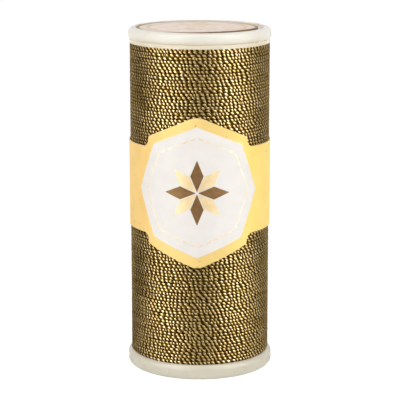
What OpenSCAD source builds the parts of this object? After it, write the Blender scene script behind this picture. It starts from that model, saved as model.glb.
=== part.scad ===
// Small snap spool of metallic embroidery thread.
// It stands on its base flange, with the origin at the middle of the base and +Z along the barrel.
// The middle of the label faces -Y.

/* [Pin sleeve] */
// Diameter of the hole that goes over the machine's spool pin
pin_bore_d = 8; // [6.5:0.1:10]
// Wall of the sleeve round the pin hole
sleeve_wall = 0.9; // [0.7:0.05:1.5]
// Chamfer at the mouth of the pin hole
pin_mouth_chamfer = 0.5; // [0.2:0.05:0.8]
// Distance from the top of the sleeve to the top of the body
sleeve_top_step = 0.5; // [0.2:0.05:1]
// Number of ribs between the sleeve and the barrel
rib_count = 4; // [3:1:8]
// Thickness of a rib
rib_t = 0.9; // [0.6:0.05:1.5]
// Height of the open ring under the ribs
rib_foot = 1.5; // [0.5:0.1:4]

/* [Barrel] */
// Wall of the barrel that the thread is wound on
barrel_wall = 1.1; // [0.9:0.05:1.8]
// Height of the winding between the two flanges
winding_h = 47.2; // [38:0.1:57]
// Depth of the thread on the barrel
thread_depth = 2.5; // [2.1:0.05:4]

/* [Base flange] */
// Height of the base flange
base_h = 2.25; // [1.8:0.05:4]
// How far the base flange stands out past the thread
base_overhang = 0.5; // [0.2:0.05:2]
// Round on the upper edge of the base flange
base_top_round = 0.8; // [0.1:0.05:0.9]
// Round on the lower edge of the base flange
base_foot_round = 0.6; // [0.1:0.05:0.8]
// Depth of the moulded recess under the base flange
base_recess_h = 1; // [0.4:0.05:1.2]
// Width of the foot ring outside that recess
foot_ring_w = 1; // [0.8:0.05:1.5]

/* [Top flange] */
// Thickness of the thin flange under the cap
top_flange_h = 0.55; // [0.4:0.05:1.2]
// How far the thin flange stands out past the thread
top_overhang = 0.02; // [0:0.01:0.3]
// Chamfer that leads the cap's collar into the barrel
lead_in = 0.3; // [0.1:0.05:0.5]

/* [Snap cap] */
// Height of the cap's rounded rim
rim_h = 1.7; // [1.4:0.05:3]
// How far the rim stands out past the thread
rim_overhang = 0.25; // [0.2:0.05:2]
// Width of the rim's flat crown and round together
rim_w = 1.15; // [1:0.05:2]
// Round on the upper edge of the rim
rim_round = 0.7; // [0.2:0.05:0.7]
// Radius of the rim's barrel-shaped side
rim_bulge_r = 1.2; // [1.1:0.05:4]
// Width of the foot on which the rim closes
rim_foot_w = 1.5; // [1.2:0.05:2]
// Thickness of the plate that closes the barrel
cap_plate_t = 0.9; // [0.6:0.05:1.2]
// Room round the pin in the hole of the plate
cap_hole_room = 0.3; // [0.1:0.05:0.8]
// How far the cap lifts to let the end of the thread in
cap_lift = 2.5; // [1:0.1:4]

/* [Snap collar] */
// Length of the collar below the rim
collar_h = 5.6; // [5:0.1:8]
// Wall of the collar
collar_wall = 1; // [0.7:0.05:1.5]
// Room between the pin sleeve and the collar
collar_room = 0.85; // [0.3:0.05:2]
// Sliding clearance between the collar and the barrel
collar_clearance = 0.15; // [0.05:0.01:0.3]
// How far the snap bead stands out from the collar
bead_h = 0.35; // [0.25:0.01:0.45]
// Radius of the bead's round back
bead_r = 0.45; // [0.45:0.01:0.6]
// Distance from the bottom of the collar to the bead
bead_step = 0.1; // [0.05:0.05:0.5]
// Number of slots that let the collar flex
slot_count = 4; // [3:1:8]
// Width of a slot
slot_w = 1.4; // [0.8:0.1:2]
// Height of a slot
slot_h = 4.4; // [2:0.1:4.6]

/* [Thread] */
// Loops drawn in the outer layer, each for a few turns of the real thread
loop_count = 24; // [12:1:24]
// Gap between neighbouring loops
loop_gap = 0.45; // [0.42:0.01:0.6]
// Gap between the end loops and the flanges
end_gap = 0.1; // [0.05:0.01:0.3]

/* [Label band] */
// Thickness of the label paper
label_t = 0.12; // [0.1:0.01:0.3]
// Room between the thread and the label
label_room = 0.05; // [0.03:0.01:0.2]
// Height of the strip that goes round the spool
strip_h = 13; // [6:0.1:15]
// Distance of the label's middle above the middle of the winding
label_rise = 2.5; // [-4:0.1:4]
// Width of the pointed panel at the front
panel_w = 16; // [10:0.1:20]
// How far the panel's straight sides stand above and below the strip
panel_ear_h = 1.5; // [1.5:0.05:3]
// Rise of the panel's sloping edges from a corner to the point
panel_roof_h = 3.4; // [2:0.1:5]
// Round at the panel's points
point_round = 2.5; // [0.5:0.1:4]
// Round at the panel's corners
corner_round = 0.5; // [0.2:0.1:1]
// Round where the panel runs into the strip
crotch_round = 1.1; // [0.3:0.1:1.1]
// Length of the glued overlap at the back
label_lap = 4; // [2:0.5:8]

/* [Top disc] */
// Diameter of the paper disc
disc_d = 18.2; // [14:0.1:18.6]
// Thickness of the disc
disc_t = 0.25; // [0.15:0.01:0.4]
// Depth of the disc's face below the crown of the rim
disc_sink = 0.1; // [0:0.01:0.3]
// How far the disc is stuck off the middle
disc_offset = 0.4; // [0:0.05:0.45]

/* [Hidden] */
$fn = 96;

// Small overrun that keeps cuts from ending on a face
CUT = 0.1;

// Radii from the pin outwards
pin_r = pin_bore_d / 2;
sleeve_r = pin_r + sleeve_wall;
collar_in_r = sleeve_r + collar_room;
collar_r = collar_in_r + collar_wall;
barrel_in_r = collar_r + collar_clearance;
barrel_r = barrel_in_r + barrel_wall;
winding_r = barrel_r + thread_depth;
base_r = winding_r + base_overhang;
top_flange_r = winding_r + top_overhang;
rim_r = winding_r + rim_overhang;
recess_edge_r = rim_r - rim_w;

// Heights from the base upwards
winding_z = base_h;
winding_top_z = winding_z + winding_h;
body_top_z = winding_top_z + top_flange_h;
crown_z = body_top_z + rim_h;
disc_top_z = crown_z - disc_sink;
disc_seat_z = disc_top_z - disc_t;
plate_z = disc_seat_z - cap_plate_t;

// Snap bead on the collar, and the groove in the barrel that it travels in
collar_z = body_top_z - collar_h;
bead_z = collar_z + bead_step + bead_r;
bead_tip_r = collar_r + bead_h;
bead_clearance = collar_clearance;
groove_r = bead_tip_r + bead_clearance;
groove_z = bead_z - bead_r - bead_clearance;
groove_top_z = bead_z + bead_r + cap_lift + bead_step;
rib_top_z = groove_z - bead_clearance;

// Outer layer of thread: a six-sided tube of 24 rings a loop
LOOP_RINGS = 24;
TUBE_SIDES = 6;
ring_step = 360 / LOOP_RINGS;
loop_height = (winding_h - 2 * end_gap - loop_count * loop_gap) / (loop_count + 1);
loop_pitch = loop_height + loop_gap;
tube_r = loop_height / 2 / cos(180 / TUBE_SIDES);
helix_r = winding_r - tube_r;
helix_z = winding_z + end_gap + loop_height / 2;
last_ring = loop_count * LOOP_RINGS;
pack_room = 0.03;
pack_r = (helix_r - tube_r) * cos(ring_step / 2) - pack_room;

// Label
label_in_r = winding_r + label_room;
label_r = label_in_r + label_t;
label_z = winding_z + winding_h / 2 + label_rise;
panel_side_h = strip_h + 2 * panel_ear_h;
panel_h = panel_side_h + 2 * panel_roof_h;
roof_angle = atan(2 * panel_roof_h / panel_w);
ROOF_STEPS = 8;
ROUND_STEPS = 6;

// ---- Spool body: one moulding with the pin sleeve, ribs, barrel and both flanges ----

// Section of the base flange, with its rounded edge
module base_flange_section() {
    straight_h = base_h - base_foot_round - base_top_round;
    translate([barrel_in_r, base_foot_round])
        square([base_r - barrel_in_r, straight_h]);
    translate([barrel_in_r, 0])
        square([base_r - base_foot_round - barrel_in_r, base_h - base_top_round]);
    translate([barrel_in_r, base_foot_round])
        square([base_r - base_top_round - barrel_in_r, base_h - base_foot_round]);
    translate([base_r - base_foot_round, base_foot_round])
        circle(base_foot_round);
    translate([base_r - base_top_round, base_h - base_top_round])
        circle(base_top_round);
}

// Section of the barrel with both flanges, the snap groove and the lead-in
module barrel_section() {
    difference() {
        union() {
            translate([barrel_in_r, 0])
                square([barrel_wall, body_top_z]);
            base_flange_section();
            translate([barrel_in_r, winding_top_z])
                square([top_flange_r - barrel_in_r, top_flange_h]);
        }
        translate([barrel_r, -CUT])
            square([base_r - foot_ring_w - barrel_r, base_recess_h + CUT]);
        translate([barrel_in_r - CUT, groove_z])
            square([groove_r - barrel_in_r + CUT, groove_top_z - groove_z]);
        polygon([
            [barrel_in_r - CUT, body_top_z - lead_in - CUT],
            [barrel_in_r + lead_in + CUT, body_top_z + CUT],
            [barrel_in_r - CUT, body_top_z + CUT]
        ]);
    }
}

// Section of the sleeve round the spool pin, with its chamfered mouth
module sleeve_section() {
    difference() {
        translate([pin_r, 0])
            square([sleeve_wall, body_top_z - sleeve_top_step]);
        polygon([
            [pin_r - CUT, -CUT],
            [pin_r + pin_mouth_chamfer + CUT, -CUT],
            [pin_r - CUT, pin_mouth_chamfer + CUT]
        ]);
    }
}

// One rib, which runs into the walls of the sleeve and the barrel
module rib() {
    rib_in_r = pin_r + sleeve_wall / 2;
    rib_out_r = barrel_in_r + barrel_wall / 2;
    translate([rib_in_r, -rib_t / 2, rib_foot])
        cube([rib_out_r - rib_in_r, rib_t, rib_top_z - rib_foot]);
}

module spool_body() {
    color("#ece8dc") {
        rotate_extrude() barrel_section();
        rotate_extrude() sleeve_section();
        for (i = [0 : rib_count - 1])
            rotate([0, 0, (i + 0.5) * 360 / rib_count]) rib();
    }
}

// ---- Snap cap: rounded rim, disc seat and slotted collar ----

// Section of the rim: a barrel-shaped side under a rounded shoulder
module rim_section() {
    rim_in_r = rim_r - rim_foot_w - rim_overhang;
    intersection() {
        translate([rim_r - rim_bulge_r, body_top_z + rim_h / 2])
            circle(rim_bulge_r);
        union() {
            translate([recess_edge_r, body_top_z])
                square([rim_w, rim_h - rim_round]);
            translate([recess_edge_r, body_top_z])
                square([rim_w - rim_round, rim_h]);
            intersection() {
                translate([rim_r - rim_round, crown_z - rim_round])
                    circle(rim_round);
                translate([recess_edge_r, body_top_z])
                    square([rim_w, rim_h]);
            }
        }
    }
    translate([rim_in_r, body_top_z])
        square([recess_edge_r - rim_in_r, disc_seat_z - body_top_z]);
}

// Section of the plate, the collar and the snap bead
module collar_section() {
    hole_r = pin_r + cap_hole_room;
    translate([hole_r, plate_z])
        square([recess_edge_r - hole_r, cap_plate_t]);
    translate([collar_in_r, collar_z])
        square([collar_wall, plate_z + cap_plate_t / 2 - collar_z]);
    intersection() {
        translate([bead_tip_r - bead_r, bead_z])
            circle(bead_r);
        translate([collar_r - collar_wall / 2, collar_z])
            square([collar_wall, collar_h]);
    }
}

// One slot, which opens the collar's lower edge and the bead
module collar_slot() {
    translate([collar_in_r - CUT, -slot_w / 2, collar_z - CUT])
        cube([collar_wall + bead_h + 2 * CUT, slot_w, slot_h + CUT]);
}

module snap_cap() {
    color("#f1ede3") difference() {
        rotate_extrude() {
            rim_section();
            collar_section();
        }
        for (i = [0 : slot_count - 1])
            rotate([0, 0, i * 360 / slot_count]) collar_slot();
    }
}

// ---- Thread: the packed inner layers, and the outer layer wound as one tube ----

module thread_pack() {
    color("#3a2c10") difference() {
        translate([0, 0, winding_z])
            cylinder(h = winding_h, r = pack_r);
        translate([0, 0, winding_z - CUT])
            cylinder(h = winding_h + 2 * CUT, r = barrel_r);
    }
}

// The end rings turn by half a step, so that each end is cut square to its last straight run
function end_turn(ring) = ring == 0 ? ring_step / 2 : ring == last_ring ? -ring_step / 2 : 0;

// Middle of the tube at one ring of the helix
function helix_point(ring) = [
    helix_r * cos(ring * ring_step),
    helix_r * sin(ring * ring_step),
    helix_z + loop_pitch * ring / LOOP_RINGS
];

// Corner of the tube: corner 0 points away from the barrel
function tube_point(ring, corner) =
    let (
        side = corner * 360 / TUBE_SIDES,
        heading = ring * ring_step + end_turn(ring)
    )
    helix_point(ring) + tube_r * [cos(side) * cos(heading), cos(side) * sin(heading), sin(side)];

function corner_index(ring, corner) = ring * TUBE_SIDES + corner % TUBE_SIDES;

// Least gap between the corners of one loop and those of the loop above it
function least_loop_gap() = min([
    for (ring = [1 : LOOP_RINGS])
    for (other = [ring + LOOP_RINGS / 2 : ring + LOOP_RINGS * 3 / 2])
    for (a = [0 : TUBE_SIDES - 1])
    for (b = [0 : TUBE_SIDES - 1])
    norm(tube_point(ring, a) - tube_point(other, b))
]);

module thread_winding() {
    echo("least gap between loops, mm", least_loop_gap());
    corners = [
        for (ring = [0 : last_ring])
        for (corner = [0 : TUBE_SIDES - 1])
        tube_point(ring, corner)
    ];
    wall = [
        for (ring = [0 : last_ring - 1])
        for (corner = [0 : TUBE_SIDES - 1])
        each [
            [
                corner_index(ring, corner),
                corner_index(ring, corner + 1),
                corner_index(ring + 1, corner)
            ],
            [
                corner_index(ring, corner + 1),
                corner_index(ring + 1, corner + 1),
                corner_index(ring + 1, corner)
            ]
        ]
    ];
    first_end = [
        for (corner = [1 : TUBE_SIDES - 2])
        [corner_index(0, 0), corner_index(0, corner + 1), corner_index(0, corner)]
    ];
    last_end = [
        for (corner = [1 : TUBE_SIDES - 2])
        [
            corner_index(last_ring, 0),
            corner_index(last_ring, corner),
            corner_index(last_ring, corner + 1)
        ]
    ];
    color("#94803c") polyhedron(points = corners, faces = concat(wall, first_end, last_end));
}

// ---- Label: a die-cut paper band, a strip with a pointed panel at the front ----

function round_points(middle, radius, from, to) = [
    for (step = [0 : ROUND_STEPS])
    let (turn = from + (to - from) * step / ROUND_STEPS)
    middle + radius * [cos(turn), sin(turn)]
];

// Flat outline of a quarter of the panel, from the strip's edge up to the point
function panel_quarter() =
    let (
        half_w = panel_w / 2,
        corner_drop = corner_round * (1 - sin(roof_angle)) / cos(roof_angle),
        corner_middle = [half_w - corner_round, panel_side_h / 2 - corner_drop],
        crotch_middle = [half_w + crotch_round, strip_h / 2 + crotch_round],
        point_middle = [0, panel_h / 2 - point_round / cos(roof_angle)],
        crotch = round_points(crotch_middle, crotch_round, 270, 180),
        corner = round_points(corner_middle, corner_round, 0, 90 - roof_angle),
        point = round_points(point_middle, point_round, 90 - roof_angle, 90),
        roof_start = corner[ROUND_STEPS],
        roof_end = point[0]
    )
    concat(
        crotch,
        corner,
        [for (step = [1 : ROOF_STEPS - 1]) roof_start + (roof_end - roof_start) * step / ROOF_STEPS],
        point
    );

function mirrored(points, by) = [
    for (i = [len(points) - 1 : -1 : 0])
    [points[i].x * by.x, points[i].y * by.y]
];

function half_turned(points) = [for (p = points) -p];

// A point of the flat label as it is seen from the front once it is wrapped on the spool
function wrapped(points) = [
    for (p = points)
    [label_r * sin(p.x / label_r * 180 / PI), p.y]
];

// Column that keeps the panel's outline at the front of the wrapped paper
module panel_cutter() {
    quarter = panel_quarter();
    outline = concat(
        quarter,
        mirrored(quarter, [-1, 1]),
        half_turned(quarter),
        mirrored(quarter, [1, -1])
    );
    translate([0, 0, label_z])
        rotate([90, 0, 0])
            linear_extrude(height = 2 * label_r)
                polygon(wrapped(outline));
}

// Slab that keeps the strip all the way round
module strip_cutter() {
    translate([-2 * label_r, -3 * label_r, label_z - strip_h / 2])
        cube([4 * label_r, 6 * label_r, strip_h]);
}

// The glued end of the strip, which lies over its start at the back
module strip_lap() {
    lap_angle = label_lap / label_r * 180 / PI;
    rotate([0, 0, 90 - lap_angle / 2])
        rotate_extrude(angle = lap_angle)
            translate([label_r - label_t / 2, label_z - strip_h / 2])
                square([label_t * 3 / 2, strip_h]);
}

module label_band() {
    color("#f0c468") {
        intersection() {
            difference() {
                translate([0, 0, label_z - panel_h / 2])
                    cylinder(h = panel_h, r = label_r);
                translate([0, 0, label_z - panel_h / 2 - CUT])
                    cylinder(h = panel_h + 2 * CUT, r = label_in_r);
            }
            union() {
                panel_cutter();
                strip_cutter();
            }
        }
        strip_lap();
    }
}

// ---- Top disc: a round paper label in the recess of the cap ----

module top_disc() {
    color("#e8d5c4")
        translate([-disc_offset, 0, disc_seat_z])
            cylinder(h = disc_t, d = disc_d);
}

spool_body();
snap_cap();
thread_pack();
thread_winding();
label_band();
top_disc();
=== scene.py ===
"""Looks of a small snap spool of metallic embroidery thread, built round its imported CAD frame."""

import math

import bpy
import numpy as np
from mathutils import Matrix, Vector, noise


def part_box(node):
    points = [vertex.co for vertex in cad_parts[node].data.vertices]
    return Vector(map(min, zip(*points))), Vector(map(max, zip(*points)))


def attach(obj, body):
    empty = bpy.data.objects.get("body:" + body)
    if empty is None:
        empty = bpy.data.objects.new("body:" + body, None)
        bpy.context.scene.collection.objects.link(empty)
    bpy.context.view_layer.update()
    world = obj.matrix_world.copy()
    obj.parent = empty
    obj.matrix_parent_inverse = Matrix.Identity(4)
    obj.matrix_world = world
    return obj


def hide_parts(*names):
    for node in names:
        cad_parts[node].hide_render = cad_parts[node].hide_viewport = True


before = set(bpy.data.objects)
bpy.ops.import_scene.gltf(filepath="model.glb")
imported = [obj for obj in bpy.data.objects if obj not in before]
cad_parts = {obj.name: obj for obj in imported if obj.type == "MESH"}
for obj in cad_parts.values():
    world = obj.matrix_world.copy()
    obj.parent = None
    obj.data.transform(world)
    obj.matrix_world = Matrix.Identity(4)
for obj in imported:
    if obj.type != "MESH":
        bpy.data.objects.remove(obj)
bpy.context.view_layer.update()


# ---- Camera ----
# A long lens a little above the table, almost square to the middle of the label, with as little
# shift as the framing needs.
MM = 0.001
camera_distance = 252 * MM
camera_rise = math.radians(11.8)
camera_turn = math.radians(2.2)
aim_height = 25.6 * MM
lens_length = 148.64
view_shift = (0.0006, -0.0063)
nearest_in_view = 10 * MM


def place_round(distance, rise, turn):
    """The location and rotation of something that faces the spool from this side and height."""
    reach = distance * math.cos(rise)
    location = (reach * math.sin(turn), -reach * math.cos(turn), aim_height + distance * math.sin(rise))
    return {"location": location, "rotation": (math.pi / 2 - rise, 0, turn)}


bpy.ops.object.camera_add(**place_round(camera_distance, camera_rise, camera_turn))
camera = bpy.context.object
camera.data.lens = lens_length
camera.data.shift_x, camera.data.shift_y = view_shift
camera.data.clip_start = nearest_in_view
bpy.context.scene.camera = camera
bpy.context.scene.view_settings.view_transform = "Standard"


# ---- Studio ----
# A white sweep and a dim sky, with two large softboxes in front of the spool. Bright reflectors and
# dark cards stand round it for its reflections alone: they shape how the metal gleams, and light nothing.
white = (1, 1, 1, 1)
sky_level = 0.3
floor_size = 4.0
floor_glow = 0.9
floor_shade = (0.3, 0.3, 0.3, 1)
floor_bounce = (0.88, 0.88, 0.87, 1)
softbox_size = (270 * MM, 560 * MM)
softbox_distance = 420 * MM
softbox_rise = math.radians(29)
left_softbox = {"turn": math.radians(-53), "power": 1.30}
right_softbox = {"turn": math.radians(61), "power": 1.33}
card_distance = 450 * MM
card_height = 620 * MM
left_reflector = {"turn": math.radians(-47), "width": 380 * MM}
right_reflector = {"turn": math.radians(58), "width": 400 * MM}
middle_card = {"turn": math.radians(2), "width": 670 * MM}
left_card = {"turn": math.radians(-107), "width": 270 * MM}
right_card = {"turn": math.radians(112), "width": 270 * MM}
wedge_tip_share = 0.04
wedge_floor_gap = 0.5 * MM


def plug(tree, socket, value):
    """Feeds a socket from the output of another node, or sets it to a plain value."""
    if isinstance(value, bpy.types.NodeSocket):
        tree.links.new(value, socket)
    else:
        socket.default_value = value


def add_node(tree, kind, inputs=None, **settings):
    """Adds a shader node. Each input is a plain value, or the output of the node that feeds it."""
    node = tree.nodes.new("ShaderNode" + kind)
    for name, value in settings.items():
        setattr(node, name, value)
    for name, value in (inputs or {}).items():
        plug(tree, node.inputs[name], value)
    return node


def seen_directly(tree):
    """1 for rays that come from the camera, from a mirror or through glass, and 0 for plain light."""
    path = add_node(tree, "LightPath").outputs
    seen = path["Is Camera Ray"]
    for ray in ("Is Glossy Ray", "Is Transmission Ray"):
        seen = add_node(tree, "Math", {0: seen, 1: path[ray]}, operation="MAXIMUM").outputs[0]
    return seen


def light_the_sky():
    """A sky that lights the spool dimly and yet is seen as white."""
    world = bpy.data.worlds.new("white_sweep")
    bpy.context.scene.world = world
    world.use_nodes = True
    tree = world.node_tree
    tree.nodes.clear()
    dim = add_node(tree, "Background", {"Color": white, "Strength": sky_level}).outputs[0]
    bright = add_node(tree, "Background", {"Color": white, "Strength": 1.0}).outputs[0]
    shown = add_node(tree, "MixShader", {0: seen_directly(tree), 1: dim, 2: bright})
    add_node(tree, "OutputWorld", {"Surface": shown.outputs[0]})


def lay_the_floor():
    """White paper that keeps the spool's shadow, and bounces plain light back at it."""
    bpy.ops.mesh.primitive_plane_add(size=floor_size)
    floor = bpy.context.object
    floor.name = "floor"
    paper = bpy.data.materials.new("sweep_paper")
    paper.use_nodes = True
    tree = paper.node_tree
    tree.nodes.clear()
    glow = add_node(tree, "Emission", {"Color": white, "Strength": floor_glow}).outputs[0]
    shade = add_node(tree, "BsdfDiffuse", {"Color": floor_shade}).outputs[0]
    bounce = add_node(tree, "BsdfDiffuse", {"Color": floor_bounce}).outputs[0]
    sheet = add_node(tree, "AddShader", {0: glow, 1: shade}).outputs[0]
    shown = add_node(tree, "MixShader", {0: seen_directly(tree), 1: bounce, 2: sheet})
    add_node(tree, "OutputMaterial", {"Surface": shown.outputs[0]})
    floor.data.materials.append(paper)


def hang_softbox(name, turn, power):
    """A large soft lamp that stays out of view and shines down on the spool."""
    bpy.ops.object.light_add(type="AREA", **place_round(softbox_distance, softbox_rise, turn))
    lamp = bpy.context.object
    lamp.name = name
    lamp.data.shape = "RECTANGLE"
    lamp.data.size, lamp.data.size_y = softbox_size
    lamp.data.energy = power
    lamp.visible_camera = False


def card_cloth(name, grey, roughness, glow):
    """The cloth over a card: plain dark felt, or a bright cloth that only glows."""
    cloth = bpy.data.materials.new(name)
    cloth.use_nodes = True
    shader = cloth.node_tree.nodes["Principled BSDF"]
    shader.inputs["Base Color"].default_value = (grey, grey, grey, 1)
    shader.inputs["Roughness"].default_value = roughness
    shader.inputs["Emission Color"].default_value = white
    shader.inputs["Emission Strength"].default_value = glow
    return cloth


def leave_to_reflections(card, cloth):
    """Covers a card, and hides it from all but reflections."""
    card.data.materials.append(cloth)
    card.visible_camera = False
    card.visible_diffuse = False
    card.visible_shadow = False


def stand_card(name, cloth, turn, width):
    """An upright card, with a wedge from its foot and one from its top.

    The wedges come to a point under and over the spool, so that its rounded rims reflect them too.
    """
    bpy.ops.mesh.primitive_plane_add(size=1, **place_round(card_distance, 0, turn))
    card = bpy.context.object
    card.name = name
    card.scale = (width, card_height, 1)
    card.location.z = card_height / 2
    leave_to_reflections(card, cloth)
    halfway = card_distance / 2
    for height in (wedge_floor_gap, card_height):
        bpy.ops.mesh.primitive_plane_add(
            size=1,
            location=(halfway * math.sin(turn), -halfway * math.cos(turn), height),
            rotation=(0, 0, turn),
        )
        wedge = bpy.context.object
        wedge.name = "wedge_card"
        wedge.scale = (width, card_distance, 1)
        for point in wedge.data.vertices:
            if point.co.y > 0:
                point.co.x *= wedge_tip_share
        leave_to_reflections(wedge, cloth)


light_the_sky()
lay_the_floor()
hang_softbox("left_softbox", **left_softbox)
hang_softbox("right_softbox", **right_softbox)
dark_felt = card_cloth("dark_felt", grey=0.05, roughness=0.9, glow=0.0)
bright_cloth = card_cloth("bright_cloth", grey=0.0, roughness=0.5, glow=2.7)
stand_card("left_reflector", bright_cloth, **left_reflector)
stand_card("right_reflector", bright_cloth, **right_reflector)
stand_card("middle_card", dark_felt, **middle_card)
stand_card("left_card", dark_felt, **left_card)
stand_card("right_card", dark_felt, **right_card)


# ---- Spool moulding ----
# The base flange, barrel and pin sleeve are one moulding in natural polypropylene, milky and
# satin, with the dull flow marks of the mould. It comes from the CAD frame as it is.
noise_span = (0.3, 0.7)
flow_mark_size = 4.5 * MM
mould_grain_size = 0.35 * MM
spool_tones = {"pale": (0.69, 0.64, 0.525), "deep": (0.635, 0.595, 0.48)}
# Painted shade, darker towards the base flange's foot, and painted light from the thread, beige on the thin
# top flange
foot_shade = (0.60, 0.57, 0.47)
flange_thread_light = (0.88, 0.76, 0.56)
flange_thread_light_fade = 1 * MM

winding_low, winding_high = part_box("thread_pack")
base_top = winding_low.z
body_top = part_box("spool_body")[1].z


def scaled_noise(tree, place, feature, detail):
    """Soft noise whose blobs are about one feature size across. Most of it is in noise_span."""
    inputs = {"Vector": place, "Scale": 1 / feature, "Detail": detail}
    return add_node(tree, "TexNoise", inputs).outputs["Fac"]


def ramp(tree, driver, *stops):
    """Turns a mask into colours: each stop is its place from 0 to 1 and its colour."""
    node = add_node(tree, "ValToRGB", {"Fac": driver})
    stripes = node.color_ramp.elements
    while len(stripes) < len(stops):
        stripes.new(0.5)
    for stripe, (place, colour) in zip(stripes, stops):
        stripe.position = place
        stripe.color = (*colour, 1)
    return node.outputs["Color"]


def spread(tree, driver, low, high, start=0.0, end=1.0, smooth=False):
    """Turns a mask that runs from start to end into values from low to high."""
    limits = {"Value": driver, "From Min": start, "From Max": end, "To Min": low, "To Max": high}
    kind = "SMOOTHSTEP" if smooth else "LINEAR"
    return add_node(tree, "MapRange", limits, interpolation_type=kind).outputs["Result"]


def blend(tree, share, first, second):
    """Mixes two colours by a mask. Each is a plain colour or an output."""
    mix = add_node(tree, "Mix", {0: share}, data_type="RGBA")
    for socket, colour in ((mix.inputs[6], first), (mix.inputs[7], second)):
        plug(tree, socket, (*colour, 1) if isinstance(colour, tuple) else colour)
    return mix.outputs[2]


def total(tree, first, second):
    """The sum of two masks."""
    return add_node(tree, "Math", {0: first, 1: second}, operation="ADD").outputs[0]


def bump(tree, height, depth, strength):
    """Turns a mask into the normals of a relief this deep."""
    return add_node(tree, "Bump", {"Height": height, "Distance": depth, "Strength": strength}).outputs[0]


def new_material(name):
    """An empty material with a Principled shader, and the place on the piece in its own space."""
    material = bpy.data.materials.new(name)
    material.use_nodes = True
    tree = material.node_tree
    shader = tree.nodes["Principled BSDF"]
    place = add_node(tree, "TexCoord").outputs["Object"]
    return material, tree, shader, place


def set_finish(tree, shader, **sockets):
    """Feeds or sets sockets of a shader or of a group's end. Underscores stand for spaces."""
    for name, value in sockets.items():
        plug(tree, shader.inputs[name.replace("_", " ")], value)


def new_group(name, inputs, outputs):
    """An empty node group with these sockets, each a name and a kind, and what its two ends offer."""
    group = bpy.data.node_groups.new(name, "ShaderNodeTree")
    for way, sockets in (("INPUT", inputs), ("OUTPUT", outputs)):
        for socket, kind in sockets.items():
            group.interface.new_socket(socket, in_out=way, socket_type="NodeSocket" + kind)
    given = group.nodes.new("NodeGroupInput")
    result = group.nodes.new("NodeGroupOutput")
    return group, given.outputs, result


def make_moulding_group():
    """Milky tone, satin roughness and faint unevenness of a natural polypropylene moulding."""
    group, given, result = new_group(
        "moulded_milky",
        {"Place": "Vector", "Pale": "Color", "Deep": "Color", "Painted Light": "Color", "Painted Light Share": "Float"},
        {"Colour": "Color", "Roughness": "Float", "Normal": "Vector"},
    )
    flow = scaled_noise(group, given["Place"], flow_mark_size, detail=3)
    grain = scaled_noise(group, given["Place"], mould_grain_size, detail=2)
    tone = blend(group, spread(group, flow, 0, 1, *noise_span), given["Pale"], given["Deep"])
    relief = total(group, flow, spread(group, grain, 0, 0.12))
    # The piece's painted shade and painted light are mixed over the plastic's tone here.
    set_finish(
        group,
        result,
        Colour=blend(group, given["Painted Light Share"], tone, given["Painted Light"]),
        Roughness=spread(group, flow, 0.24, 0.34, *noise_span),
        Normal=bump(group, relief, depth=0.06 * MM, strength=0.5),
    )
    return group


moulding_group = make_moulding_group()


def milky_plastic(name, pale, deep, painted_light_of):
    """Natural polypropylene. The last argument turns the height on the piece into a colour of painted shade
    and light, and its share.
    """
    material, tree, shader, place = new_material(name)
    height = add_node(tree, "SeparateXYZ", {0: place}).outputs["Z"]
    tint, share = painted_light_of(tree, height)
    tones = {"Place": place, "Pale": (*pale, 1), "Deep": (*deep, 1), "Painted Light": tint, "Painted Light Share": share}
    look = add_node(tree, "Group", tones, node_tree=moulding_group).outputs
    set_finish(
        tree,
        shader,
        Base_Color=look["Colour"],
        Roughness=look["Roughness"],
        Normal=look["Normal"],
        IOR=1.49,
        Specular_IOR_Level=0.3,
        Subsurface_Weight=0.35,
        Subsurface_Scale=1.2 * MM,
        Subsurface_Radius=(1.0, 0.8, 0.55),
    )
    return material


def finish_cad_node(node, material):
    """Gives a CAD node its material."""
    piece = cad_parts[node]
    piece.data.materials.clear()
    piece.data.materials.append(material)


def foot_shade_and_flange_thread_light(tree, height):
    """Painted shade darkens the base flange towards its foot, and painted light from the thread makes the
    thin top flange beige.
    """
    tint = ramp(tree, spread(tree, height, 0, 1, start=0, end=body_top), (0.0, foot_shade), (1.0, flange_thread_light))
    foot = spread(tree, height, 0.85, 0, start=0, end=base_top, smooth=True)
    flange = spread(tree, height, 0, 0.9, start=winding_high.z - flange_thread_light_fade, end=winding_high.z)
    return tint, total(tree, foot, flange)


finish_cad_node("spool_body", milky_plastic("milky_spool", **spool_tones, painted_light_of=foot_shade_and_flange_thread_light))


# ---- Snap cap ----
# The second moulding, of the same polypropylene, in paler tones than the first. Towards its lower
# edge the thin rim has painted light: the thread's colour, which shows through it, is painted in as a beige
# tint.
cap_tones = {"pale": (0.83, 0.795, 0.71), "deep": (0.795, 0.76, 0.675)}
rim_thread_light = (0.87, 0.77, 0.58)
faint_rim_thread_light = (0.87, 0.78, 0.60)
thread_light_low = body_top - 0.2 * MM
thread_light_high = body_top + 0.95 * MM


def rim_thread_light_tint(tree, height):
    """Painted light from the thread: beige at the rim's lower edge, gone at half its height, and also on the
    hidden collar.
    """
    share = spread(tree, height, 0.85, 0, start=thread_light_low, end=thread_light_high, smooth=True)
    return ramp(tree, share, (0.0, faint_rim_thread_light), (1.0, rim_thread_light)), share


finish_cad_node("snap_cap", milky_plastic("milky_cap", **cap_tones, painted_light_of=rim_thread_light_tint))


# ---- Wound thread ----
# One thread lies on the barrel in close turns, pressed flat by the pull of winding. Its two strands,
# a pale gold metallised strip and a dark olive yarn, are twisted together, so that gold flecks stand
# in rows.
thread_reach = 0.27 * MM
thread_flatness = 0.5
thread_stand_out = 0.03 * MM
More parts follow.
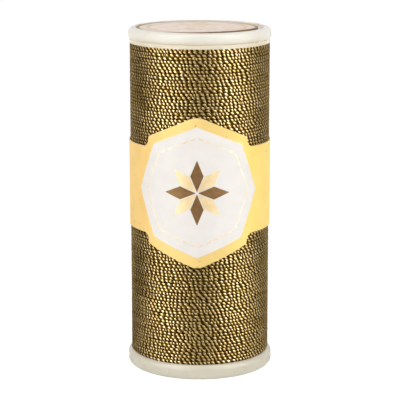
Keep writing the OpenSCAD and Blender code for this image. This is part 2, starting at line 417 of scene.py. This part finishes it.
# The cut through each strand, which reaches this far out from the middle of the thread
gold_section = {"sides": 8, "half_thickness": 0.06 * MM, "half_width": 0.157 * MM, "reach": 0.245 * MM}
dark_section = {"sides": 5, "half_thickness": 0.19 * MM, "half_width": 0.19 * MM, "reach": 0.255 * MM}
turn_count = 100
band_count = 5
twists_per_turn = 97.9
rings_per_twist = 6
path_points_per_turn = 64
end_turn_lift = 0.45 * thread_reach
turn_wander = 0.08 * MM
turn_sink = 0.02 * MM
path_use = 0.9999
drift_seed = 5
drift_swing = 1.7
# How far apart the knots of each wave of drift are, in millimetres, and its share of a twist
drift_waves = ((0.9, 0.12), (1.6, 0.28), (2.9, 0.32), (5.3, 0.35), (110.0, 0.6), (260.0, 0.9))

wear_patch_size = 3.2 * MM
thread_fibre_size = 0.07 * MM
gold_fleck_size = 0.55 * MM
gold_tones = ((0.0, (0.48, 0.33, 0.13)), (0.5, (0.68, 0.52, 0.26)), (1.0, (0.75, 0.61, 0.38)))
worn_gold = (0.66, 0.50, 0.19)
dull_gold = (0.34, 0.23, 0.07)
dull_streak_size = 0.7 * MM
dull_streak_squeeze = (0.12, 0.12, 1.0)
gold_glint = (1.0, 0.9, 0.62, 1)
dark_fleck_size = 0.4 * MM
dark_tones = ((0.0, (0.025, 0.010, 0.0002)), (0.6, (0.046, 0.021, 0.0005)), (1.0, (0.11, 0.062, 0.003)))
dark_glint = (0.6, 0.42, 0.14, 1)

winding_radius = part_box("thread_winding")[1].x
thread_radius = winding_radius + thread_stand_out - thread_flatness * thread_reach
first_turn = winding_low.z + end_turn_lift
last_turn = winding_high.z - end_turn_lift
turn_pitch = (last_turn - first_turn) / (turn_count - 1)
turn_length = math.hypot(2 * math.pi * thread_radius, turn_pitch)
turns_per_band = turn_count / band_count
band_length = turns_per_band * turn_length
twists_per_band = round(turns_per_band * twists_per_turn)
twist_length = band_length / twists_per_band


def pick(piece):
    """Selects this piece alone, so that an operator works on nothing else."""
    bpy.ops.object.select_all(action="DESELECT")
    piece.select_set(True)
    bpy.context.view_layer.objects.active = piece


def apply_modifier(piece, kind, **settings):
    """Adds a modifier with these settings and applies it to the mesh."""
    pick(piece)
    modifier = piece.modifiers.new(kind.lower(), kind)
    for name, value in settings.items():
        setattr(modifier, name, value)
    bpy.ops.object.modifier_apply(modifier=modifier.name)


def settle(piece):
    """Moves the piece's place and turn into its mesh."""
    pick(piece)
    bpy.ops.object.transform_apply(location=True, rotation=True, scale=True)


def turn_faces_outwards():
    """In edit mode, turns all faces of the mesh outwards."""
    bpy.ops.mesh.select_all(action="SELECT")
    bpy.ops.mesh.normals_make_consistent(inside=False)


def draw_out(piece, step, twist, rings, count):
    """Draws a section out along X into a closed rod of so many steps.

    Each step is this long, turns by this twist and has this many rings.
    """
    apply_modifier(
        piece,
        "SCREW",
        axis="X",
        angle=twist,
        screw_offset=step,
        steps=rings,
        render_steps=rings,
        iterations=count,
        use_smooth_shade=True,
    )
    bpy.ops.object.mode_set(mode="EDIT")
    bpy.ops.mesh.select_all(action="SELECT")
    bpy.ops.mesh.fill_holes(sides=0)
    turn_faces_outwards()
    bpy.ops.object.mode_set(mode="OBJECT")


def points_of(piece):
    """The mesh's points as rows of x, y and z."""
    points = np.empty(len(piece.data.vertices) * 3, np.float32)
    piece.data.vertices.foreach_get("co", points)
    return points.reshape(-1, 3)


def move_points(piece, points):
    """Puts the mesh's points at these rows of x, y and z."""
    piece.data.vertices.foreach_set("co", points.astype(np.float32).ravel())
    piece.data.update()


def straight_strand(name, side, sides, half_thickness, half_width, reach):
    """One strand of a band's thread, still straight along X, on this side of its middle."""
    offset = reach - half_thickness
    slope = math.atan(2 * math.pi * offset / twist_length)
    bpy.ops.mesh.primitive_circle_add(
        vertices=sides, radius=1 / math.cos(math.pi / sides), rotation=(0, 0, math.pi / sides)
    )
    strand = bpy.context.object
    strand.name = name
    settle(strand)
    strand.scale = (half_thickness, half_width, 1)
    strand.rotation_euler = (0, math.pi / 2, -side * slope)
    strand.location.z = side * offset
    settle(strand)
    draw_out(strand, step=twist_length, twist=2 * math.pi, rings=rings_per_twist, count=twists_per_band)
    return strand


def twist_drift(along):
    """How far the twist runs ahead at this distance along the thread, because no twist is even."""
    chance = np.random.default_rng(drift_seed)
    drift = np.zeros_like(along)
    for gap, share in drift_waves:
        knots = np.arange(-2, band_count * band_length / (gap * MM) + 3) * gap * MM
        drift += share * np.interp(along, knots, chance.uniform(-drift_swing, drift_swing, len(knots)))
    return twist_length * drift


def round_noise(angle, turns, round_scale, turn_scale, shift=0):
    """Noise from -1 to 1 that changes this fast round the spool and from turn to turn."""
    x = round_scale * math.cos(angle) + shift
    y = round_scale * math.sin(angle)
    return noise.noise((x, y, turns * turn_scale))


def winding_path(name, first, count, radius, low, high):
    """A curve of close turns round the barrel, with the slight unevenness of machine winding.

    The first half turn lies level along the one flange and the last half turn along the other.
    """
    curve = bpy.data.curves.new(name, "CURVE")
    curve.dimensions = "3D"
    curve.twist_mode = "Z_UP"
    steps = int(count * path_points_per_turn)
    line = curve.splines.new("POLY")
    line.points.add(steps)
    for step, point in enumerate(line.points):
        turns = first + count * step / steps
        angle = 2 * math.pi * turns
        wander = round_noise(angle, turns, round_scale=5, turn_scale=0.7)
        sink = round_noise(angle, turns, round_scale=2, turn_scale=0.9, shift=9)
        reach = radius - turn_sink * (1 + sink)
        height = min(max(low + turn_pitch * (turns - 0.5), low), high) + turn_wander * wander
        point.co = (reach * math.cos(angle), reach * math.sin(angle), height, 1)
    path = bpy.data.objects.new(name, curve)
    bpy.context.scene.collection.objects.link(path)
    return path


def wind_on(piece, path):
    """Fits a straight piece to the path's length and bends it along the path, which then goes.

    The piece stops just short of the path's end, because past it the piece would run on straight.
    """
    points = points_of(piece)
    start, end = points[:, 0].min(), points[:, 0].max()
    length = path.data.splines[0].calc_length()
    points[:, 0] = (points[:, 0] - start) * path_use * length / (end - start)
    move_points(piece, points)
    apply_modifier(piece, "CURVE", object=path, deform_axis="POS_X")
    bpy.data.objects.remove(path)


def make_yarn_group():
    """Slow change of tone and wear along wound thread, and the fine lie of its fibres."""
    group, given, result = new_group(
        "wound_yarn",
        {"Place": "Vector", "Fleck Size": "Float"},
        {"Fleck": "Float", "Patch": "Float", "Normal": "Vector"},
    )
    place = given["Place"]
    scale = add_node(group, "Math", {0: 1.0, 1: given["Fleck Size"]}, operation="DIVIDE").outputs[0]
    fleck = add_node(group, "TexNoise", {"Vector": place, "Scale": scale, "Detail": 1.0})
    patch = scaled_noise(group, place, wear_patch_size, detail=2)
    fibre = scaled_noise(group, place, thread_fibre_size, detail=1)
    set_finish(
        group,
        result,
        Fleck=spread(group, fleck.outputs["Fac"], 0, 1, *noise_span),
        Patch=spread(group, patch, 0, 1, *noise_span),
        Normal=bump(group, fibre, depth=0.01 * MM, strength=0.5),
    )
    return group


yarn_group = make_yarn_group()


def yarn_look(tree, place, fleck_size):
    """Places the yarn group in a material, with its own fleck size."""
    inputs = {"Place": place, "Fleck Size": fleck_size}
    return add_node(tree, "Group", inputs, node_tree=yarn_group).outputs


def gold_strand_material():
    """Metallised strip wrapped round a fine core: pale gold that goes from cream to olive gold."""
    material, tree, shader, place = new_material("gold_strand")
    look = yarn_look(tree, place, gold_fleck_size)
    bright = ramp(tree, look["Fleck"], *gold_tones)
    gold = blend(tree, spread(tree, look["Patch"], 0, 0.45), bright, worn_gold)
    lie = add_node(tree, "Mapping", {"Vector": place, "Scale": dull_streak_squeeze}).outputs[0]
    streak = spread(tree, scaled_noise(tree, lie, dull_streak_size, detail=1), 0, 0.5, start=0.38, end=0.66)
    set_finish(
        tree,
        shader,
        Base_Color=blend(tree, streak, gold, dull_gold),
        Roughness=spread(tree, look["Fleck"], 0.41, 0.30),
        Normal=look["Normal"],
        Metallic=1.0,
        Specular_Tint=gold_glint,
    )
    return material


def dark_strand_material():
    """Dark viscose yarn, brown-black with an olive cast where the light catches it."""
    material, tree, shader, place = new_material("dark_strand")
    look = yarn_look(tree, place, dark_fleck_size)
    set_finish(
        tree,
        shader,
        Base_Color=ramp(tree, look["Fleck"], *dark_tones),
        Roughness=spread(tree, look["Patch"], 0.4, 0.55),
        Normal=look["Normal"],
        Metallic=0.9,
        Specular_Tint=dark_glint,
    )
    return material


def wind_strand(name, side, section, material):
    """The whole outer layer of one strand, in bands that each take the same straight strand."""
    for band in range(band_count):
        strand = straight_strand(f"{name}_{band + 1}", side, **section)
        points = points_of(strand)
        points[:, 0] += twist_drift(band * band_length + points[:, 0].astype(float))
        points[:, 1] *= thread_flatness
        move_points(strand, points)
        turns_before = band * turns_per_band
        path = winding_path("turns", turns_before, turns_per_band, thread_radius, first_turn, last_turn)
        wind_on(strand, path)
        strand.data.materials.append(material)
        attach(strand, "spool")
        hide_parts("thread_winding")


wind_strand("gold_strand", side=1, section=gold_section, material=gold_strand_material())
wind_strand("dark_strand", side=-1, section=dark_section, material=dark_strand_material())


# ---- Inner layers of thread ----
# Under the outer turns lie more layers of the same thread. The top one of them shows through the
# gaps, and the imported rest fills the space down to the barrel.
barrel_radius = 8.0 * MM
barrel_sides = 96
inner_turn_depth = 1.5 * thread_reach
core_depth = 0.8 * thread_reach
inner_radius = thread_radius - inner_turn_depth
core_radius = inner_radius - core_depth
inner_thread_radius = 0.96 * thread_reach
inner_thread_sides = 6
inner_path_step = 0.9 * MM
inner_fleck_size = 0.42 * MM
# Painted shade: the inner thread has the thread's colours darkened to the shade that it lies in.
inner_shade_tones = ((0.0, (0.02, 0.009, 0.001)), (0.62, (0.05, 0.026, 0.003)), (1.0, (0.2, 0.13, 0.04)))


def inner_turns():
    """The top inner layer, whose turns lie in the grooves between the outer ones."""
    turns = turn_count - 1
    length = turns * math.hypot(2 * math.pi * inner_radius, turn_pitch)
    bpy.ops.mesh.primitive_circle_add(
        vertices=inner_thread_sides, radius=inner_thread_radius, rotation=(0, math.pi / 2, 0)
    )
    layer = bpy.context.object
    settle(layer)
    steps = int(length / inner_path_step)
    draw_out(layer, step=length / steps, twist=0.0, rings=1, count=steps)
    low, high = first_turn + turn_pitch / 2, last_turn - turn_pitch / 2
    wind_on(layer, winding_path("inner_turns", 0, turns, inner_radius, low, high))
    return layer


def packed_core():
    """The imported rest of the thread, as a closed ring round the barrel."""
    bpy.ops.mesh.primitive_circle_add(
        vertices=barrel_sides, radius=barrel_radius, location=(0, 0, winding_low.z)
    )
    core = bpy.context.object
    settle(core)
    rise = winding_high.z - winding_low.z
    bpy.ops.object.mode_set(mode="EDIT")
    bpy.ops.mesh.select_all(action="SELECT")
    bpy.ops.mesh.extrude_region_move(TRANSFORM_OT_translate={"value": (0, 0, rise)})
    turn_faces_outwards()
    bpy.ops.object.mode_set(mode="OBJECT")
    apply_modifier(core, "SOLIDIFY", thickness=core_radius - barrel_radius, offset=1, use_even_offset=True)
    return core


def join_pieces(name, pieces):
    """Makes one piece of several, under this name."""
    pick(pieces[0])
    for piece in pieces[1:]:
        piece.select_set(True)
    bpy.ops.object.join()
    pieces[0].name = name
    return pieces[0]


def inner_thread_material():
    """The same dark and gold thread, deep in shade and out of the light's reach, with that shade painted into
    its colours.
    """
    material, tree, shader, place = new_material("inner_thread")
    look = yarn_look(tree, place, inner_fleck_size)
    set_finish(
        tree,
        shader,
        Base_Color=ramp(tree, look["Fleck"], *inner_shade_tones),
        Roughness=spread(tree, look["Patch"], 0.5, 0.7),
        Normal=look["Normal"],
        Specular_IOR_Level=0.0,
    )
    return material


turns_on_top = inner_turns()
inner_layers = join_pieces("inner_layers", [packed_core(), turns_on_top])
inner_layers.data.materials.append(inner_thread_material())
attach(inner_layers, "spool")
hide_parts("thread_pack")


# ---- Paper label ----
# A strip with a pointed panel at its middle, die-cut from foil-faced paper, wrapped round the
# thread and glued where its ends overlap at the back.
label_low, label_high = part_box("label_band")
label_radius = label_high.x
label_middle = (label_low.z + label_high.z) / 2
paper_thickness = 0.12 * MM
strip_height = 13 * MM
panel_width = 16 * MM
panel_side = 16 * MM
panel_height = 22.8 * MM
point_round = 2.5 * MM
corner_round = 0.5 * MM
notch_cut = 1.1 * MM
round_steps = 6
lap_length = 4 * MM
lap_slope_lead = 1.2 * MM
lap_slope_length = 1.0 * MM
lap_lift = 1.04 * paper_thickness
strip_reach = math.pi * label_radius + lap_length / 2
slice_width = 0.4 * MM
crease_angle = math.radians(30)
flat_angle = 0.01

# Painted light and reflection across the gold, from the left of the label to its right: warm on the one side,
# yellow on the other, with darker bands between
foil_light_tones = (
    (0.0, (0.88, 0.59, 0.205)),
    (0.15, (0.81, 0.54, 0.172)),
    (0.45, (0.87, 0.62, 0.203)),
    (0.7, (0.70, 0.50, 0.142)),
    (0.85, (0.82, 0.59, 0.14)),
    (1.0, (0.92, 0.68, 0.195)),
)
foil_cloud = (0.92, 0.70, 0.31)
foil_cloud_size = 2.4 * MM
foil_speck = (0.45, 0.28, 0.09)
foil_speck_size = 0.45 * MM
foil_fibre_size = 0.16 * MM
paper_cloud_size = 1.8 * MM
paper_fibre_size = 0.12 * MM


def same_length(first, second):
    """True for two lengths that differ by less than a thousandth of a millimetre."""
    return abs(first - second) < 0.001 * MM


def select_where(piece, kind, test):
    """In edit mode, selects the points or edges whose middle passes the test."""
    bpy.ops.object.mode_set(mode="OBJECT")
    points = piece.data.vertices
    if kind == "VERT":
        items = points
        chosen = [test(point.co) for point in points]
    else:
        items = piece.data.edges
        ends = [[points[end].co for end in edge.vertices] for edge in items]
        chosen = [test((first + second) / 2) for first, second in ends]
    bpy.ops.object.mode_set(mode="EDIT")
    bpy.ops.mesh.select_mode(type=kind)
    bpy.ops.mesh.select_all(action="DESELECT")
    bpy.ops.object.mode_set(mode="OBJECT")
    for item, wanted in zip(items, chosen):
        item.select = wanted
    bpy.ops.object.mode_set(mode="EDIT")


def cut_across(places, normal):
    """In edit mode, cuts the whole mesh along planes that stand at these places on the normal."""
    for place in places:
        bpy.ops.mesh.select_all(action="SELECT")
        middle = [place * part for part in normal]
        bpy.ops.mesh.bisect(plane_co=middle, plane_no=normal, threshold=0.0001 * MM)


def flat_label():
    """The label's outline as one flat face, seen from -Y, with rounded points and corners."""
    bpy.ops.mesh.primitive_plane_add(size=1, rotation=(math.pi / 2, 0, 0))
    label = bpy.context.object
    label.name = "foil_label"
    label.scale = (panel_width, panel_side, 1)
    settle(label)
    half_panel = panel_width / 2
    bpy.ops.object.mode_set(mode="EDIT")
    for up in (1, -1):
        select_where(label, "EDGE", lambda middle: same_length(middle.z, up * panel_side / 2))
        rise = up * (panel_height - panel_side) / 2
        bpy.ops.mesh.extrude_region_move(TRANSFORM_OT_translate={"value": (0, 0, rise)})
        bpy.ops.mesh.merge(type="CENTER")
    cut_across((-strip_height / 2, strip_height / 2), (0, 0, 1))
    for way in (1, -1):
        select_where(
            label,
            "EDGE",
            lambda middle: same_length(middle.x, way * half_panel) and abs(middle.z) < strip_height / 2,
        )
        reach = way * (strip_reach - half_panel)
        bpy.ops.mesh.extrude_region_move(TRANSFORM_OT_translate={"value": (reach, 0, 0)})
    bpy.ops.mesh.select_all(action="SELECT")
    bpy.ops.mesh.dissolve_limited(angle_limit=flat_angle)

    roof = math.atan((panel_height - panel_side) / panel_width)
    point_cut = point_round * math.tan(roof)
    corner_cut = corner_round * math.tan((math.pi / 2 - roof) / 2)
    rounds = (
        (point_cut, lambda p: same_length(abs(p.z), panel_height / 2)),
        (corner_cut, lambda p: same_length(abs(p.z), panel_side / 2)),
        (notch_cut, lambda p: same_length(abs(p.z), strip_height / 2) and abs(p.x) < panel_width),
    )
    for cut_back, test in rounds:
        select_where(label, "VERT", test)
        bpy.ops.mesh.bevel(offset=cut_back, segments=round_steps, affect="VERTICES")
    bpy.ops.object.mode_set(mode="OBJECT")
    return label


def give_thickness(piece, thickness):
    """Gives a flat piece a back and a rim, in its second material where it has one."""
    apply_modifier(
        piece, "SOLIDIFY", thickness=thickness, offset=-1, material_offset=1, material_offset_rim=1
    )


def slice_and_thicken(piece, thickness):
    """Slices a flat piece upright, so that it can bend, and gives it its thickness."""
    slices = int(np.abs(points_of(piece)[:, 0]).max() / slice_width)
    pick(piece)
    bpy.ops.object.mode_set(mode="EDIT")
    cut_across([step * slice_width for step in range(-slices, slices + 1)], (1, 0, 0))
    bpy.ops.object.mode_set(mode="OBJECT")
    give_thickness(piece, thickness)


def lift_the_lap(label):
    """Raises the last stretch of the strip by its own thickness, so that it lies over its start."""
    points = points_of(label)
    slope_start = math.pi * label_radius - lap_length / 2 - lap_slope_lead
    share = np.clip((points[:, 0] - slope_start) / lap_slope_length, 0, 1)
    points[:, 1] -= lap_lift * share * share * (3 - 2 * share)
    move_points(label, points)


def bend_round(piece, stand_out):
    """Bends an upright flat piece round the spool, to stand out this far from the label's face."""
    points = points_of(piece)
    width = float(points[:, 0].max() - points[:, 0].min())
    points[:, 1] -= stand_out
    move_points(piece, points)
    apply_modifier(
        piece, "SIMPLE_DEFORM", deform_method="BEND", deform_axis="Z", angle=width / label_radius
    )
    piece.data.transform(Matrix.Translation((0, -label_radius, label_middle)))
    pick(piece)
    bpy.ops.object.shade_smooth_by_angle(angle=crease_angle)


def foil_material():
    """Gold hot-foil on coated paper, with soft clouds, a few dark specks and the paper's fibres."""
    material, tree, shader, place = new_material("gold_foil")
    # Painted light: the gold's tone runs across the label from left to right.
    across = add_node(tree, "SeparateXYZ", {0: place}).outputs["X"]
    share = spread(tree, across, 0, 1, start=-label_radius, end=label_radius)
    gold = ramp(tree, share, *foil_light_tones)
    cloud = scaled_noise(tree, place, foil_cloud_size, detail=4)
    clouded = blend(tree, spread(tree, cloud, 0, 0.3, start=0.4, end=0.75), gold, foil_cloud)
    speck = spread(tree, scaled_noise(tree, place, foil_speck_size, detail=0), 0, 0.45, start=0.77, end=0.82)
    fibres = scaled_noise(tree, place, foil_fibre_size, detail=2)
    relief = total(tree, spread(tree, cloud, 0, 0.6), spread(tree, fibres, 0, 0.25))
    set_finish(
        tree,
        shader,
        Base_Color=blend(tree, speck, clouded, foil_speck),
        Roughness=spread(tree, cloud, 0.55, 0.7, *noise_span),
        Normal=bump(tree, relief, depth=0.03 * MM, strength=0.6),
        Metallic=0.2,
    )
    return material


def paper_material(name, pale, deep):
    """Uncoated or lightly coated paper with a fine felt surface."""
    material, tree, shader, place = new_material(name)
    cloud = scaled_noise(tree, place, paper_cloud_size, detail=3)
    fibres = scaled_noise(tree, place, paper_fibre_size, detail=2)
    set_finish(
        tree,
        shader,
        Base_Color=ramp(tree, cloud, (0.35, deep), (0.65, pale)),
        Roughness=spread(tree, fibres, 0.5, 0.66),
        Normal=bump(tree, fibres, depth=0.01 * MM, strength=0.5),
    )
    return material


gold_foil = foil_material()
paper_core = paper_material("label_paper_core", pale=(0.82, 0.79, 0.72), deep=(0.76, 0.72, 0.64))

foil_label = flat_label()
foil_label.data.materials.append(gold_foil)
foil_label.data.materials.append(paper_core)
slice_and_thicken(foil_label, paper_thickness)
lift_the_lap(foil_label)
bend_round(foil_label, stand_out=0.0)
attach(foil_label, "spool")
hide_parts("label_band")


# ---- Print on the label ----
# A pearly eight-sided field with a fine tan edge. On it are a running-stitch border and an
# eight-pointed quilt star of eight diamonds, in brown and pale gold inks.
layer_rise = 0.012 * MM
ink_thickness = 0.9 * layer_rise
print_rise = 0.1 * MM
field_sides = 8
field_radius = 9.87 * MM
field_edge = 0.13 * MM
pearl_radius = field_radius - field_edge
stitch_radius = 8.15 * MM
stitches_per_side = 5
stitch_length = 0.78 * MM
stitch_width = 0.17 * MM
stitch_sides = 12
star_radius = 5.0 * MM
star_points = 8
diamond_fill = 0.94
ink_cloud_size = 0.9 * MM
ink_speck_size = 0.1 * MM


def flat_polygon(name, sides, radius):
    """A flat polygon that stands on the XZ plane, with a corner at the top."""
    bpy.ops.mesh.primitive_circle_add(
        vertices=sides, radius=radius, fill_type="NGON", rotation=(math.pi / 2, 0, 0)
    )
    shape = bpy.context.object
    shape.name = name
    settle(shape)
    return shape


def turn_shape(shape, turn):
    """Turns a flat shape round the middle of the field."""
    points = points_of(shape)
    x, z = points[:, 0].copy(), points[:, 2].copy()
    points[:, 0] = x * math.cos(turn) - z * math.sin(turn)
    points[:, 2] = x * math.sin(turn) + z * math.cos(turn)
    move_points(shape, points)


def stitch_border():
    """Rounded dashes in a row along each side of the border."""
    half_corner = math.pi / field_sides
    side_length = 2 * stitch_radius * math.sin(half_corner)
    side_distance = stitch_radius * math.cos(half_corner)
    dashes = []
    for side in range(field_sides):
        for step in range(stitches_per_side):
            dash = flat_polygon("stitch", stitch_sides, stitch_width / 2)
            points = points_of(dash)
            end = np.sign(np.round(points[:, 0] / stitch_width, 6))
            points[:, 0] += end * (stitch_length - stitch_width) / 2
            points[:, 0] += ((step + 0.5) / stitches_per_side - 0.5) * side_length
            points[:, 2] += side_distance
            move_points(dash, points)
            turn_shape(dash, (2 * side + 1) * half_corner)
            dashes.append(dash)
    return join_pieces("stitch_border", dashes)


def star_patches(name, first):
    """Every second diamond of the star, from the first one on."""
    corner = 2 * math.pi / star_points
    half_length = star_radius / 2
    half_width = half_length * math.tan(corner / 2)
    diamonds = []
    for point in range(first, star_points, 2):
        diamond = flat_polygon("diamond", 4, 1.0)
        points = points_of(diamond)
        points[:, 0] *= half_width * diamond_fill
        points[:, 2] = half_length + points[:, 2] * half_length * diamond_fill
        move_points(diamond, points)
        turn_shape(diamond, point * corner)
        diamonds.append(diamond)
    return join_pieces(name, diamonds)


def print_layer(shape, layer, material):
    """Lays a flat shape on the label as the given layer of ink."""
    shape.data.materials.append(material)
    points = points_of(shape)
    points[:, 2] += print_rise
    move_points(shape, points)
    slice_and_thicken(shape, ink_thickness)
    bend_round(shape, stand_out=layer * layer_rise)
    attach(shape, "spool")


def ink_material(name, pale, deep, metallic):
    """Printed ink, a little uneven, and slightly metallic for the gold."""
    material, tree, shader, place = new_material(name)
    cloud = scaled_noise(tree, place, ink_cloud_size, detail=3)
    speck = scaled_noise(tree, place, ink_speck_size, detail=1)
    set_finish(
        tree,
        shader,
        Base_Color=ramp(tree, cloud, (0.35, deep), (0.65, pale)),
        Roughness=spread(tree, speck, 0.38, 0.55),
        Metallic=metallic,
    )
    return material


pearl_paper = paper_material("pearl_paper", pale=(0.82, 0.78, 0.73), deep=(0.79, 0.75, 0.71))
tan_ink = ink_material("tan_ink", pale=(0.86, 0.66, 0.36), deep=(0.78, 0.58, 0.30), metallic=0.2)
brown_ink = ink_material("brown_ink", pale=(0.25, 0.125, 0.035), deep=(0.19, 0.09, 0.022), metallic=0.3)
gold_ink = ink_material("pale_gold_ink", pale=(0.90, 0.72, 0.42), deep=(0.84, 0.64, 0.34), metallic=0.4)

print_layer(flat_polygon("field_edge", field_sides, field_radius), layer=1, material=tan_ink)
print_layer(flat_polygon("pearl_field", field_sides, pearl_radius), layer=2, material=pearl_paper)
print_layer(stitch_border(), layer=3, material=gold_ink)
print_layer(star_patches("star_brown", first=0), layer=3, material=brown_ink)
print_layer(star_patches("star_gold", first=1), layer=3, material=gold_ink)


# ---- Paper disc on the cap ----
# A round coated paper label stuck in the recess of the cap, a little off its middle. Its edge has
# come up slightly at the front right, where the gap under it shows dark, with painted shade on its edge.
disc_low, disc_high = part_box("top_disc")
disc_radius = (disc_high.x - disc_low.x) / 2
disc_middle = (disc_low.x + disc_high.x) / 2
disc_thickness = disc_high.z - disc_low.z
disc_sides = 96
disc_ring_count = 6
disc_ring_width = disc_radius / 8
disc_lift = 0.22 * MM
lifted_towards = math.radians(-58)
pearl_tones = (
    (0.34, (0.87, 0.69, 0.53)),
    (0.46, (0.92, 0.77, 0.66)),
    (0.56, (0.95, 0.82, 0.75)),
    (0.68, (0.95, 0.84, 0.67)),
)
pearl_flow_size = 1.7 * MM
pearl_flow_squeeze = (1.0, 0.45, 1.0)
disc_fibre_size = 0.14 * MM
ring_brown = (0.40, 0.26, 0.13)
# Where the brown rings are, from the middle, 0, to the edge, 1, and how strong each is there
disc_rings = ((0.77, 0.0), (0.80, 0.35), (0.83, 0.12), (0.94, 0.12), (0.965, 0.95), (1.0, 0.95))


def coated_paper_material():
    """Pinkish paper with a pearly, uneven gloss, a beige band round it and a fine brown outline."""
    material, tree, shader, place = new_material("coated_paper")
    lie = add_node(tree, "Mapping", {"Vector": place, "Scale": pearl_flow_squeeze}).outputs[0]
    flow = scaled_noise(tree, lie, pearl_flow_size, detail=2)
    fibres = scaled_noise(tree, place, disc_fibre_size, detail=2)
    middle = {"Vector": place, "Location": (-disc_middle, 0, 0), "Scale": (1, 1, 0)}
    flat = add_node(tree, "Mapping", middle).outputs[0]
    out = add_node(tree, "VectorMath", {0: flat}, operation="LENGTH").outputs["Value"]
    rings = [(place, (strength, strength, strength)) for place, strength in disc_rings]
    ring_share = ramp(tree, spread(tree, out, 0, 1, start=0, end=disc_radius), *rings)
    set_finish(
        tree,
        shader,
        Base_Color=blend(tree, ring_share, ramp(tree, flow, *pearl_tones), ring_brown),
        Roughness=spread(tree, flow, 0.55, 0.7, *noise_span),
        Normal=bump(tree, fibres, depth=0.01 * MM, strength=0.4),
        Specular_IOR_Level=0.1,
    )
    return material


def flat_disc():
    """Flat disc with rings of points, so that its edge can lift."""
    bpy.ops.mesh.primitive_circle_add(
        vertices=disc_sides, radius=disc_radius, fill_type="NGON", location=(disc_middle, 0, disc_high.z)
    )
    disc = bpy.context.object
    disc.name = "paper_disc"
    settle(disc)
    bpy.ops.object.mode_set(mode="EDIT")
    for _ in range(disc_ring_count):
        bpy.ops.mesh.inset(thickness=disc_ring_width)
    turn_faces_outwards()
    bpy.ops.object.mode_set(mode="OBJECT")
    return disc


def lift_the_edge(disc):
    """Raises the disc more and more from its middle towards the side where it came unstuck."""
    points = points_of(disc)
    out = (points[:, 0] - disc_middle) * math.cos(lifted_towards) + points[:, 1] * math.sin(lifted_towards)
    share = np.clip(out / disc_radius, 0, 1)
    points[:, 2] += disc_lift * share * share
    move_points(disc, points)


coated_paper = coated_paper_material()
# Painted shade: the disc's cut edge is dark brown all round, so that the gap under its lifted edge shows
# dark.
disc_edge_shade = paper_material("disc_edge_shade", pale=(0.24, 0.14, 0.055), deep=(0.15, 0.085, 0.03))

paper_disc = flat_disc()
paper_disc.data.materials.append(coated_paper)
paper_disc.data.materials.append(disc_edge_shade)
give_thickness(paper_disc, disc_thickness)
lift_the_edge(paper_disc)
pick(paper_disc)
bpy.ops.object.shade_smooth_by_angle(angle=crease_angle)
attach(paper_disc, "cap")
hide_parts("top_disc")
